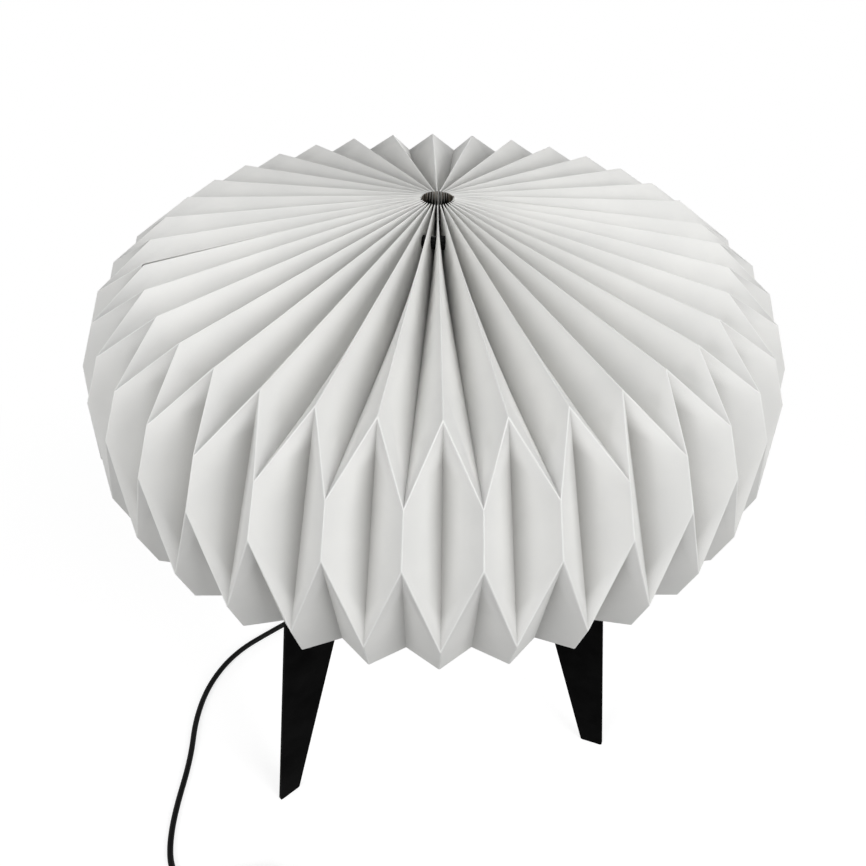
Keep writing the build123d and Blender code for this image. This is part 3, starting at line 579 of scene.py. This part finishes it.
# %% Plain paper
paper_finish, tree, shader, place = new_finish("folded_paper", 0.86, specular=0.22)
clouds = noise(tree, place, scale=26.0, detail=6.0)
plain_paper = tones(tree, clouds, (0.80, 0.80, 0.785), (0.84, 0.838, 0.82))
fine_bump(tree, shader, place, scale=1500.0, height=0.00002, detail=6.0)
paper_x, paper_y, paper_z = axes_of(tree, place)
off_axis = length_of(tree, stretched(tree, place, (1.0, 1.0, 0.0)))
print("Finish:", paper_finish.name)

# %% [markdown]
# Round the hole the imported edges of the pleats are brown-grey. The paper takes that tone in the last
# millimetre before the hole, over a wider band deeper down, and painted shade in the hole takes it to
# nearly black some six millimetres below the rim.

# %% Dark edges and painted shade round the hole
rim_height = crest_corners[0][1]
dark_within = 0.0094
plain_beyond = 0.0101
widening = 0.25
black_below = 0.4901
brown_above = 0.4919
# Painted shade: deep in the hole the paper goes nearly black.
painted_hole_shade = (0.002, 0.0017, 0.0014, 1.0)
below_rim = calculate(tree, "SUBTRACT", paper_z, rim_height)
from_hole = calculate(tree, "MULTIPLY_ADD", below_rim, widening, off_axis)
plain_share = map_range(tree, from_hole, dark_within, plain_beyond)
streaks = noise(tree, stretched(tree, place, (700.0, 700.0, 40.0)), scale=1.0)
brown_rim = tones(tree, streaks, (0.022, 0.018, 0.014), (0.24, 0.205, 0.165), 0.4, 0.62)
hole_tone = mixed_colour(tree, map_range(tree, paper_z, black_below, brown_above), painted_hole_shade, brown_rim)
paper_round_hole = mixed_colour(tree, plain_share, hole_tone, plain_paper)
print("Soiled out to", 1000 * dark_within, "mm, clean from", 1000 * plain_beyond, "mm")

# %% [markdown]
# The inward folds on the side get painted shade, darker than plain light makes them. An Ambient
# Occlusion node finds them: it is dark where other paper stands close by. The painted shade goes on
# the side of the shade, and above it only near the crests past the shoulder, so that the long valleys
# of the top stay plain.

# %% Painted shade in the folds of the side
fold_reach = 0.016
open_fold = 0.90
tight_fold = 0.30
side_from = 0.443
side_full = 0.425
painted_fold_shade = (0.40, 0.395, 0.38, 1.0)
# Painted shade: the base colour goes grey where the Ambient Occlusion node finds a tight fold.
closeness = tree.nodes.new("ShaderNodeAmbientOcclusion")
closeness.samples = 8
closeness.inputs["Distance"].default_value = fold_reach
in_fold = map_range(tree, closeness.outputs["AO"], open_fold, tight_fold)
on_side = map_range(tree, paper_z, side_from, side_full)
print("Grey in the folds below", 1000 * side_from, "mm")

# %% Painted fold shade past the shoulder
pleats_per_radian = pleats / (2 * math.pi)
far_from_crest = 0.36
near_crest = 0.20
shoulder_from = shoulder_radius - 0.004
shoulder_full = shoulder_radius + 0.002
around = calculate(tree, "ARCTAN2", paper_x, paper_y)
pleat_phase = calculate(tree, "MULTIPLY_ADD", around, pleats_per_radian, shade_turn * pleats_per_radian)
off_crest = calculate(tree, "PINGPONG", pleat_phase, 0.5)
by_crest = map_range(tree, off_crest, far_from_crest, near_crest)
past_shoulder = map_range(tree, off_axis, shoulder_from, shoulder_full)
on_shoulder = calculate(tree, "MULTIPLY", by_crest, past_shoulder)
where_painted_shade = calculate(tree, "MAXIMUM", on_shoulder, on_side)
painted_shade_share = calculate(tree, "MULTIPLY", in_fold, where_painted_shade)
paper_colour = mixed_colour(tree, painted_shade_share, paper_round_hole, painted_fold_shade)
tree.links.new(paper_colour, shader.inputs["Base Color"])
print("Nodes of the paper:", len(tree.nodes))

# %% Finish of the creased edges, with a painted highlight
fold_finish_with_highlight, tree, shader, place = new_finish("paper_fold_highlight", 0.7, specular=0.3)
# Painted highlight: the folds are a little whiter than the paper.
drifting_colour(tree, shader, place, (0.84, 0.84, 0.825), (0.885, 0.885, 0.87), scale=60.0)
fine_bump(tree, shader, place, scale=1500.0, height=0.00001)
print("Finish:", fold_finish_with_highlight.name)

# %% [markdown]
# ### Folds and thickness
# A fold in real paper is never a knife edge: it is a narrow round strip that catches the light. The
# outward folds get a bevel weight and a Bevel modifier turns each into three thin faces, which also
# take the second finish of the piece: a creased edge is a little glossier, and a little whiter as a
# painted highlight. Solidify then gives the sheet its thickness inwards, and weighted normals keep the
# wide facets flat.

# %% Round the folds and thicken the paper
paper_thickness = 0.0003
fold_width = 0.0007
least_fold = math.radians(12)
sharp_from = math.radians(40)


def outward_fold(edge):
    """True for a fold that stands out, not for a valley or for the rows inside a facet."""
    return len(edge.link_faces) == 2 and edge.is_convex and edge.calc_face_angle() > least_fold


def finish_paper(piece):
    """Turn, round, thicken, punch and smooth one half of the shade."""
    piece.data.materials.append(paper_finish)
    piece.data.materials.append(fold_finish_with_highlight)
    edit_alone(piece)
    pick_edges(piece, outward_fold)
    bpy.ops.transform.edge_bevelweight(value=1.0)
    bpy.ops.mesh.select_all(action="SELECT")
    bpy.ops.transform.rotate(value=-shade_turn, orient_axis="Z", center_override=(0.0, 0.0, 0.0))
    bpy.ops.object.mode_set(mode="OBJECT")
    fold = piece.modifiers.new("fold", "BEVEL")
    fold.limit_method = "WEIGHT"
    fold.width = fold_width
    fold.segments = 3
    fold.material = 1
    bpy.ops.object.modifier_apply(modifier="fold")
    stock = piece.modifiers.new("stock", "SOLIDIFY")
    stock.thickness = paper_thickness
    stock.offset = -1.0
    bpy.ops.object.modifier_apply(modifier="stock")
    if piece is front_paper:
        punch = piece.modifiers.new("punch", "BOOLEAN")
        punch.operation = "DIFFERENCE"
        punch.object = hole_bar
        bpy.ops.object.modifier_apply(modifier="punch")
    bpy.ops.object.shade_smooth_by_angle(angle=sharp_from)
    flat = piece.modifiers.new("flat", "WEIGHTED_NORMAL")
    flat.keep_sharp = True
    bpy.ops.object.modifier_apply(modifier="flat")
    print(piece.name, "faces:", len(piece.data.polygons))


for half, node in ((front_paper, "shade_front_sheet"), (rear_paper, "shade_rear_sheet")):
    finish_paper(half)
    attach(half, "shade")
    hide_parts(node)
bpy.data.objects.remove(hole_bar)

# %% [markdown]
# ## The stand
# The legs and hubs are steel plate with a matt black powder coat. Powder melts into a skin with a
# very fine orange peel, so the colour hardly changes, but the bump and roughness do.

# %% Powder coat
powder, tree, shader, place = new_finish("black_powder_coat", 0.7, specular=0.01)
drifting_colour(tree, shader, place, grey(0.0012), grey(0.0026), scale=90.0)
drifting_roughness(tree, shader, place, smooth=0.52, rough=0.68, scale=30.0)
fine_bump(tree, shader, place, scale=1300.0, height=0.00004)
dress(powder, "leg_front_left", "leg_front_right", "leg_rear")
dress(powder, "hub_upper_disc", "hub_lower_disc", "top_hub", "shade_spigot")

# %% [markdown]
# ## Small fittings
# Nuts and screws are zinc plated, and what carries current is plain brass. The black mouldings have
# almost one colour, so they are told apart by their gloss and their grain: dull rubber, ordinary
# plastic with a fine texture, the shinier pin in the pleats, and the polished rocker of the switch.

# %% Zinc and brass
zinc, tree, shader, place = new_finish("zinc_plate", 0.35, metallic=1.0)
drifting_colour(tree, shader, place, (0.46, 0.47, 0.50), grey(0.62), scale=220.0)
drifting_roughness(tree, shader, place, smooth=0.28, rough=0.45, scale=500.0)
fine_bump(tree, shader, stretched(tree, place, (1.0, 1.0, 6.0)), scale=900.0, height=0.00001)
dress(zinc, "nipple_locknut", "switch_screws")
brass, tree, shader, place = new_finish("plain_brass", 0.3, metallic=1.0)
drifting_colour(tree, shader, place, (0.55, 0.40, 0.17), (0.74, 0.58, 0.29), scale=260.0)
drifting_roughness(tree, shader, place, smooth=0.22, rough=0.42, scale=320.0)
fine_bump(tree, shader, place, scale=1500.0, height=0.000008)
dress(brass, "lampholder_thread", "lampholder_contact", "terminal_screws", "switch_blades")

# %% Rubber and moulded plastic
rubber, tree, shader, place = new_finish("black_rubber", 0.75, specular=0.3)
drifting_colour(tree, shader, place, grey(0.008), grey(0.016), scale=140.0)
drifting_roughness(tree, shader, place, smooth=0.66, rough=0.85, scale=160.0)
fine_bump(tree, shader, place, scale=2200.0, height=0.00003)
dress(rubber, "gathering_collar")
plastic, tree, shader, place = new_finish("moulded_plastic", 0.5, specular=0.4)
drifting_colour(tree, shader, place, grey(0.011), grey(0.018), scale=80.0)
drifting_roughness(tree, shader, place, smooth=0.42, rough=0.58, scale=60.0)
fine_bump(tree, shader, place, scale=1800.0, height=0.00003)
dress(plastic, "cord_clips", "lampholder_cap", "lampholder_shell", "switch_base", "switch_cover")
dress(plastic, "plug_body")

# %% Shiny plastics
jet, tree, shader, place = new_finish("jet_plastic", 0.35, specular=0.12)
drifting_colour(tree, shader, place, grey(0.002), grey(0.004), scale=200.0)
drifting_roughness(tree, shader, place, smooth=0.28, rough=0.42, scale=300.0)
fine_bump(tree, shader, place, scale=2200.0, height=0.00001)
dress(jet, "pleat_pin")
gloss, tree, shader, place = new_finish("polished_plastic", 0.25, specular=0.5)
drifting_colour(tree, shader, place, grey(0.010), grey(0.015), scale=120.0)
drifting_roughness(tree, shader, place, smooth=0.18, rough=0.32, scale=240.0)
fine_bump(tree, shader, place, scale=2500.0, height=0.000006)
dress(gloss, "switch_rocker", "bulb_insulator")

# %% [markdown]
# ## Lampholder and bulb
# The insert of the lampholder is unglazed ceramic. The bulb is an opal globe on a rolled cap, with a
# small white post inside that carries its light source.

# %% Ceramic and opal glass
ceramic, tree, shader, place = new_finish("unglazed_ceramic", 0.7)
drifting_colour(tree, shader, place, (0.76, 0.73, 0.67), (0.86, 0.84, 0.79), scale=180.0)
fine_bump(tree, shader, place, scale=1600.0, height=0.00003)
dress(ceramic, "lampholder_insert")
opal, tree, shader, place = new_finish("opal_glass", 0.18)
drifting_colour(tree, shader, place, (0.82, 0.82, 0.80), (0.87, 0.865, 0.845), scale=45.0)
drifting_roughness(tree, shader, place, smooth=0.12, rough=0.24, scale=70.0)
fine_bump(tree, shader, place, scale=120.0, height=0.00002)
dress(opal, "bulb_glass")

# %% Cap metal and post of the bulb
tin, tree, shader, place = new_finish("rolled_aluminium", 0.32, metallic=1.0)
drifting_colour(tree, shader, place, grey(0.62), (0.76, 0.76, 0.75), scale=200.0)
drifting_roughness(tree, shader, place, smooth=0.25, rough=0.42, scale=300.0)
fine_bump(tree, shader, stretched(tree, place, (1.0, 1.0, 12.0)), scale=500.0, height=0.00001)
dress(tin, "bulb_contact")
white_post, tree, shader, place = new_finish("white_post", 0.45)
drifting_colour(tree, shader, place, (0.80, 0.79, 0.75), (0.86, 0.85, 0.81), scale=150.0)
fine_bump(tree, shader, place, scale=1800.0, height=0.00002)
dress(white_post, "bulb_led_post")

# %% [markdown]
# ## Threads
# The bulb's cap is thin metal rolled into a round thread, and the tube that clamps the hub has a sharp
# cut one. Both start as an open barrel whose upright edges are divided into many rows. A point's phase
# is how far round one turn of the helix it lies, and all points of one phase sit equally deep. So each
# phase is picked in turn and scaled towards the axis, which leaves a true right-hand helix.

# %% Helper that cuts a thread
columns_per_row = 6


def threaded_barrel(name, radius, foot, top, plain_foot, plain_top, pitch, depths):
    """An open barrel in edit mode, threaded between its plain ends, with one depth for each phase."""
    columns = len(depths)
    rows_per_turn = columns // columns_per_row
    rows = round((top - foot) * rows_per_turn / pitch)
    row_height = (top - foot) / rows
    bpy.ops.object.select_all(action="DESELECT")
    bpy.ops.mesh.primitive_cylinder_add(
        vertices=columns,
        radius=radius,
        depth=top - foot,
        end_fill_type="NOTHING",
        location=(0.0, 0.0, (foot + top) / 2),
    )
    barrel = bpy.context.object
    barrel.name = name
    bpy.ops.object.transform_apply(location=True, rotation=True, scale=True)
    bpy.ops.object.mode_set(mode="EDIT")
    pick_edges(barrel, lambda edge: abs(edge.verts[0].co.z - edge.verts[1].co.z) > row_height / 2)
    bpy.ops.mesh.subdivide(number_cuts=rows - 1)

    def phase(point):
        """Which of the phases a point has, counted from nought."""
        climbed = (point.co.z - foot) / row_height / rows_per_turn
        turned = math.atan2(point.co.y, point.co.x) / (2 * math.pi)
        return round((climbed - turned) * columns) % columns

    shape = bmesh.from_edit_mesh(barrel.data)
    shape.verts.index_update()
    phases = {
        point.index: phase(point)
        for point in shape.verts
        if foot + plain_foot < point.co.z < top - plain_top
    }
    for number, deep in enumerate(depths):
        pick_points(barrel, lambda point: phases.get(point.index) == number)
        scale_out(1.0 - deep / radius)
    print(name, "rows:", rows, "turns:", round(rows / rows_per_turn, 1))
    return barrel


# %% Screw cap of the bulb
cap_low, cap_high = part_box("bulb_cap")
cap_radius = cap_high[0]
cap_pitch = 0.00363
cap_depth = 0.0009
cap_plain_foot = 0.0010
cap_plain_top = 0.0075
cap_sheet = 0.00025
cap_phases = 72
cap_turn = [2 * math.pi * step / cap_phases for step in range(cap_phases)]
round_thread = [cap_depth * (1.0 - math.cos(angle)) / 2 for angle in cap_turn]
screw_cap = threaded_barrel(
    "bulb_screw_cap",
    cap_radius,
    cap_low[2],
    cap_high[2],
    cap_plain_foot,
    cap_plain_top,
    cap_pitch,
    round_thread,
)
bpy.ops.object.mode_set(mode="OBJECT")
sheet_metal = screw_cap.modifiers.new("sheet_metal", "SOLIDIFY")
sheet_metal.thickness = cap_sheet
sheet_metal.offset = -1.0
bpy.ops.object.modifier_apply(modifier="sheet_metal")
bpy.ops.object.shade_smooth_by_angle(angle=math.radians(50))
wear(screw_cap, tin)
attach(screw_cap, "bulb")
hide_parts("bulb_cap")
print("Cap faces:", len(screw_cap.data.polygons))

# %% Threaded tube of the hub
tube_low, tube_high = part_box("threaded_nipple")
tube_radius = tube_high[0]
tube_bore = 0.0032
tube_end = 0.0045
tube_pitch = 0.001
tube_depth = 0.00055
tube_plain = 0.0004
tube_phases = 36
sharp_thread = [tube_depth * (1.0 - abs(2 * step / tube_phases - 1.0)) for step in range(tube_phases)]
hub_tube = threaded_barrel(
    "hub_threaded_tube",
    tube_radius,
    tube_low[2],
    tube_high[2],
    tube_plain,
    tube_plain,
    tube_pitch,
    sharp_thread,
)

# %% Ends and bore of the tube
end_tolerance = 1e-5


def at_an_end(point):
    """True on the two end rings of the tube."""
    return min(point.co.z - tube_low[2], tube_high[2] - point.co.z) < end_tolerance


pick_points(hub_tube, at_an_end)
scale_out(tube_end / tube_radius)
bpy.ops.mesh.extrude_edges_move()
scale_out(tube_bore / tube_end)
bpy.ops.mesh.bridge_edge_loops()
face_outwards()
bpy.ops.object.mode_set(mode="OBJECT")
bpy.ops.object.shade_smooth_by_angle(angle=math.radians(35))
wear(hub_tube, zinc)
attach(hub_tube, "stand")
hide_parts("threaded_nipple")
print("Tube faces:", len(hub_tube.data.polygons))

# %% [markdown]
# ## Plug and tie
# Each pin of the plug is bright nickel at the tip and has a black sleeve on the half next to the body.
# Both are one round pin, so the finish changes along X: a map range on the X coordinate is nought in
# the sleeve and one on the metal. The coil's tie is a woven tape, ribbed across by a wave.

# %% Plug pins
sleeve_length = 0.0095
sleeve_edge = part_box("plug_body")[1][0] + sleeve_length
edge_blur = 0.0002
sleeve_black = (0.012, 0.012, 0.012, 1.0)
pin_finish, tree, shader, place = new_finish("sleeved_nickel", 0.25)
nickel_clouds = noise(tree, place, scale=300.0, detail=4.0)
nickel = tones(tree, nickel_clouds, (0.60, 0.59, 0.56), (0.72, 0.71, 0.68))
drifting_roughness(tree, shader, place, smooth=0.18, rough=0.34, scale=600.0)
fine_bump(tree, shader, stretched(tree, place, (0.2, 1.0, 1.0)), scale=2500.0, height=0.000004)
along_pin = axes_of(tree, place)[0]
bare_metal = map_range(tree, along_pin, sleeve_edge, sleeve_edge + edge_blur)
pin_colour = mixed_colour(tree, bare_metal, sleeve_black, nickel)
tree.links.new(pin_colour, shader.inputs["Base Color"])
tree.links.new(bare_metal, shader.inputs["Metallic"])
dress(pin_finish, "plug_pins")

# %% Woven tie
tape, tree, shader, place = new_finish("woven_tape", 0.9, specular=0.2)
drifting_colour(tree, shader, place, grey(0.006), grey(0.016), scale=900.0)
drifting_roughness(tree, shader, place, smooth=0.82, rough=0.96, scale=700.0)
ribs = tree.nodes.new("ShaderNodeTexWave")
ribs.inputs["Scale"].default_value = 320.0
ribs.inputs["Distortion"].default_value = 1.5
tree.links.new(place, ribs.inputs["Vector"])
relief(tree, shader, ribs.outputs["Fac"], height=0.00015)
dress(tape, "coil_tie")

# %% [markdown]
# ## Studio
# The picture shows the lamp on plain white. The floor is a wide plane. To the camera, and in mirrors
# and glass, it is nearly white round the lamp, where it still darkens in the lamp's shadow, and fades
# to full white further off. To all other light it is a plain dark grey. The world is white to the
# camera as well, and a dim white to everything else. A big soft lamp stands at each side of the
# camera, the right one stronger, and a smaller one low behind keeps the back of the shade from going
# dull.

# %% Rays that see the background


def seen_rays(tree):
    """One where a ray comes from the camera, a mirror or a lens, and nought for all other light."""
    rays = tree.nodes.new("ShaderNodeLightPath").outputs
    direct = calculate(tree, "MAXIMUM", rays["Is Camera Ray"], rays["Is Glossy Ray"])
    return calculate(tree, "MAXIMUM", direct, rays["Is Transmission Ray"])


def blend_shaders(tree, share, first, second):
    """A shader that goes from the first to the second as the share goes from nought to one."""
    mix = tree.nodes.new("ShaderNodeMixShader")
    tree.links.new(share, mix.inputs["Fac"])
    tree.links.new(first, mix.inputs[1])
    tree.links.new(second, mix.inputs[2])
    return mix.outputs["Shader"]


def paint(tree, level):
    """A plain matt grey."""
    matt = tree.nodes.new("ShaderNodeBsdfDiffuse")
    matt.inputs["Color"].default_value = (*grey(level), 1.0)
    return matt.outputs["BSDF"]


def glow(tree, strength):
    """An even white glow."""
    light = tree.nodes.new("ShaderNodeEmission")
    light.inputs["Color"].default_value = (1.0, 1.0, 1.0, 1.0)
    light.inputs["Strength"].default_value = strength
    return light.outputs["Emission"]


# %% Floor
near_paint = 0.42
near_glow = 0.74
true_paint = 0.15
fade_from = 0.25
fade_to = 0.7
bpy.ops.object.select_all(action="DESELECT")
bpy.ops.mesh.primitive_plane_add(size=8.0)
floor = bpy.context.object
floor.name = "studio_floor"
floor_finish = bpy.data.materials.new("white_floor")
floor_finish.use_nodes = True
tree = floor_finish.node_tree
tree.nodes.clear()
output = tree.nodes.new("ShaderNodeOutputMaterial")
near = tree.nodes.new("ShaderNodeAddShader")
tree.links.new(paint(tree, near_paint), near.inputs[0])
tree.links.new(glow(tree, near_glow), near.inputs[1])
floor_place = tree.nodes.new("ShaderNodeTexCoord")
fade = tree.nodes.new("ShaderNodeMapRange")
fade.interpolation_type = "SMOOTHSTEP"
fade.inputs["From Min"].default_value = fade_from
fade.inputs["From Max"].default_value = fade_to
tree.links.new(length_of(tree, floor_place.outputs["Object"]), fade.inputs["Value"])
seen_floor = blend_shaders(tree, fade.outputs["Result"], near.outputs["Shader"], glow(tree, 1.0))
whole_floor = blend_shaders(tree, seen_rays(tree), paint(tree, true_paint), seen_floor)
tree.links.new(whole_floor, output.inputs["Surface"])
floor.data.materials.append(floor_finish)
print("Floor:", floor.name)

# %% World
world = bpy.data.worlds.new("soft_studio")
bpy.context.scene.world = world
world.use_nodes = True
tree = world.node_tree
tree.nodes.clear()
output = tree.nodes.new("ShaderNodeOutputWorld")
ambient = tree.nodes.new("ShaderNodeBackground")
ambient.inputs["Color"].default_value = (1.0, 1.0, 1.0, 1.0)
ambient.inputs["Strength"].default_value = 0.26
white = tree.nodes.new("ShaderNodeBackground")
white.inputs["Color"].default_value = (1.0, 1.0, 1.0, 1.0)
sky = blend_shaders(tree, seen_rays(tree), ambient.outputs["Background"], white.outputs["Background"])
tree.links.new(sky, output.inputs["Surface"])
bpy.context.scene.view_settings.view_transform = "Standard"
print("World:", world.name)

# %% Lamps
lamp_aim = Vector((0.0, 0.0, 0.4))


def soft_lamp(name, place, size, power):
    """A square area lamp that looks at the middle of the shade."""
    bpy.ops.object.select_all(action="DESELECT")
    bpy.ops.object.light_add(type="AREA", location=place)
    lamp = bpy.context.object
    lamp.name = name
    lamp.data.shape = "SQUARE"
    lamp.data.size = size
    lamp.data.energy = power
    look = lamp_aim - Vector(place)
    lamp.rotation_euler = look.to_track_quat("-Z", "Y").to_euler()
    print(name, power, "W")


soft_lamp("right_lamp", (1.39, -1.165, 1.33), size=1.3, power=26.2)
soft_lamp("left_lamp", (-1.25, -1.3, 1.33), size=1.3, power=18.6)
soft_lamp("back_lamp", (0.2, 1.9, 0.3), size=0.55, power=17.0)
